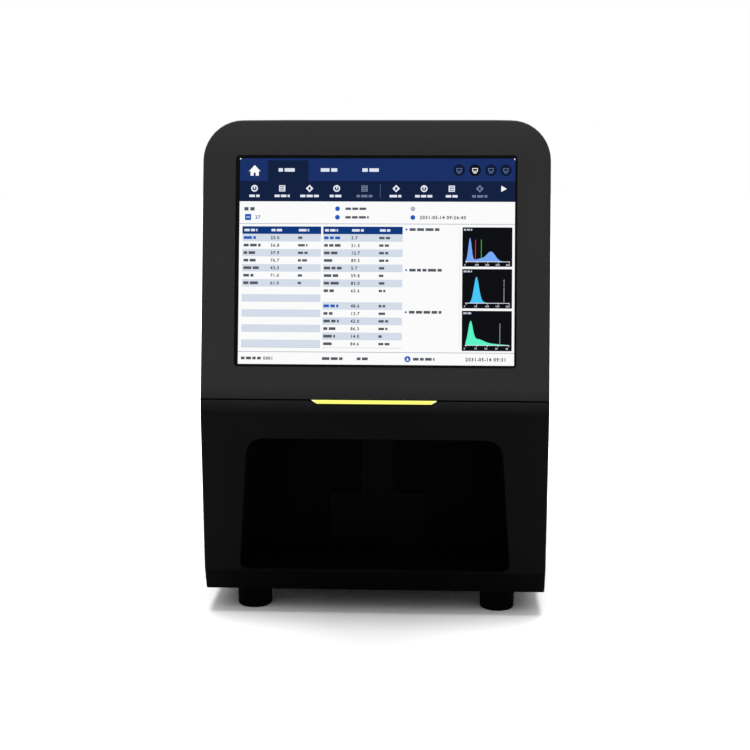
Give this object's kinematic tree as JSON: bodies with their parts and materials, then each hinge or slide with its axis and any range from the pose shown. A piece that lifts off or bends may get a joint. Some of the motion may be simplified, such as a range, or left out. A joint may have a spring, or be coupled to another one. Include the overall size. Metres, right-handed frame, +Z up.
{
  "type": "hematology analyzer",
  "caption": "Bench-top blood cell analyzer with a tilted touch screen, recessed sample bay, powered tube drawer, moving probe, syringes and a hinged side door.",
  "frame": {"origin": "on the bench, under the middle of the casing's footprint", "axes": "+Z up, +X to the user's right, the screen and the sample bay face -Y"},
  "size_m": [0.265, 0.3497, 0.3797],
  "materials": {
    "bezel_plastic": "fine textured dark grey moulding",
    "cover_plastic": "fine textured near-black moulding",
    "bay_plastic": "matte black moulding",
    "foot_rubber": "matte black rubber",
    "light_lens": "glowing yellow lens",
    "display_glass": "polished glass over a lit display",
    "display_case": "metal-skinned display module",
    "sheet_metal": "zinc-plated sheet steel",
    "rear_paint": "dark grey powder coat",
    "bright_steel": "ground steel",
    "plain_aluminium": "clear anodised",
    "supply_case": "folded sheet case",
    "motor_black": "black stepper motor can",
    "circuit_board": "green solder mask",
    "connector_plastic": "black moulded plastic",
    "clear_acrylic": "clear acrylic",
    "white_acetal": "white machined plastic",
    "belt_rubber": "ribbed timing belt"
  },
  "bodies": {
    "casing": {"screen_bezel": "bezel_plastic", "lower_front_cover": "cover_plastic", "bay_liner": "bay_plastic", "main_cover": "cover_plastic", "rear_panel": "rear_paint", "door_hinge_pin_upper": "bright_steel", "door_hinge_pin_lower": "bright_steel", "base_plate": "sheet_metal", "light_bar_lens": "light_lens", "foot_front_left": "foot_rubber", "foot_front_right": "foot_rubber", "foot_rear_left": "foot_rubber", "foot_rear_right": "foot_rubber", "touch_glass": "display_glass", "lcd_module": "display_case", "display_bracket": "sheet_metal", "drawer_guide_left": "plain_aluminium", "drawer_guide_right": "plain_aluminium", "drawer_motor": "motor_black", "chassis_plate": "sheet_metal", "traverse_rail": "bright_steel", "traverse_belt": "belt_rubber", "traverse_motor": "motor_black", "bath_bracket": "plain_aluminium", "rbc_bath": "clear_acrylic", "wbc_bath": "clear_acrylic", "fluidics_panel": "sheet_metal", "sample_syringe_barrel": "clear_acrylic", "sample_syringe_motor": "motor_black", "diluent_syringe_barrel": "clear_acrylic", "diluent_syringe_motor": "motor_black", "waste_pump": "connector_plastic", "electronics_panel": "sheet_metal", "main_board": "circuit_board", "power_supply": "supply_case", "fan_frame": "connector_plastic", "power_inlet": "connector_plastic", "usb_ports": "bright_steel", "network_port": "bright_steel", "waste_port": "white_acetal", "lyse_port": "white_acetal", "diluent_port": "white_acetal"},
    "side_door": {"side_door": "cover_plastic"},
    "drawer": {"sample_drawer": "connector_plastic", "tube_holder": "white_acetal"},
    "drawer_pinion": {"drawer_pinion": "white_acetal"},
    "carriage": {"probe_carriage": "plain_aluminium", "lift_motor": "motor_black", "lift_rod": "bright_steel", "probe_wipe": "white_acetal"},
    "traverse_pulley": {"traverse_pulley": "plain_aluminium"},
    "traverse_idler": {"traverse_idler": "plain_aluminium"},
    "lift_screw": {"lift_screw": "bright_steel"},
    "probe": {"probe_holder": "white_acetal", "sample_probe": "bright_steel"},
    "sample_plunger": {"sample_syringe_plunger": "white_acetal"},
    "diluent_plunger": {"diluent_syringe_plunger": "white_acetal"},
    "fan_rotor": {"fan_rotor": "connector_plastic"},
    "power_rocker": {"power_rocker": "connector_plastic"},
    "fuse_drawer": {"fuse_drawer": "connector_plastic"}
  },
  "joints": [
    {"name": "side_door_swing", "type": "hinge", "parent": "casing", "child": "side_door", "pos_m": [0.1295, 0.062, 0.156], "axis": [0, 0, 1], "range_deg": [0, 105]},
    {"name": "sample_drawer_slide", "type": "slide", "parent": "casing", "child": "drawer", "axis": [0, -1, 0], "range_m": [0, 0.07]},
    {"name": "drawer_pinion_spin", "type": "hinge", "parent": "casing", "child": "drawer_pinion", "pos_m": [0.023, -0.086, 0.031], "axis": [1, 0, 0], "continuous": true},
    {"name": "probe_traverse", "type": "slide", "parent": "casing", "child": "carriage", "axis": [0, 1, 0], "range_m": [0, 0.1052]},
    {"name": "traverse_pulley_spin", "type": "hinge", "parent": "casing", "child": "traverse_pulley", "pos_m": [-0.0357, 0.0476, 0.221], "axis": [1, 0, 0], "continuous": true},
    {"name": "traverse_idler_spin", "type": "hinge", "parent": "casing", "child": "traverse_idler", "pos_m": [-0.0357, -0.094, 0.221], "axis": [1, 0, 0], "continuous": true},
    {"name": "probe_lift", "type": "slide", "parent": "carriage", "child": "probe", "axis": [0, 0, -1], "range_m": [0, 0.08]},
    {"name": "lift_screw_spin", "type": "hinge", "parent": "carriage", "child": "lift_screw", "pos_m": [-0.014, -0.086, 0.2], "axis": [0, 0, 1], "continuous": true},
    {"name": "sample_plunger_slide", "type": "slide", "parent": "casing", "child": "sample_plunger", "axis": [0, 0, -1], "range_m": [0, 0.036]},
    {"name": "diluent_plunger_slide", "type": "slide", "parent": "casing", "child": "diluent_plunger", "axis": [0, 0, -1], "range_m": [0, 0.036]},
    {"name": "fan_spin", "type": "hinge", "parent": "casing", "child": "fan_rotor", "pos_m": [0.06, 0.155, 0.292], "axis": [0, 1, 0], "continuous": true},
    {"name": "power_rocker_tilt", "type": "hinge", "parent": "casing", "child": "power_rocker", "pos_m": [-0.088, 0.1698, 0.085], "axis": [-1, 0, 0], "range_deg": [0, 20]},
    {"name": "fuse_drawer_slide", "type": "slide", "parent": "casing", "child": "fuse_drawer", "axis": [0, 1, 0], "range_m": [0, 0.018]}
  ],
  "couplings": [
    {"joint": "drawer_pinion_spin", "follows": "sample_drawer_slide", "rad_per_m": 156.25},
    {"joint": "traverse_pulley_spin", "follows": "probe_traverse", "rad_per_m": 144.93},
    {"joint": "traverse_idler_spin", "follows": "probe_traverse", "rad_per_m": 144.93},
    {"joint": "lift_screw_spin", "follows": "probe_lift", "rad_per_m": 785.4}
  ]
}
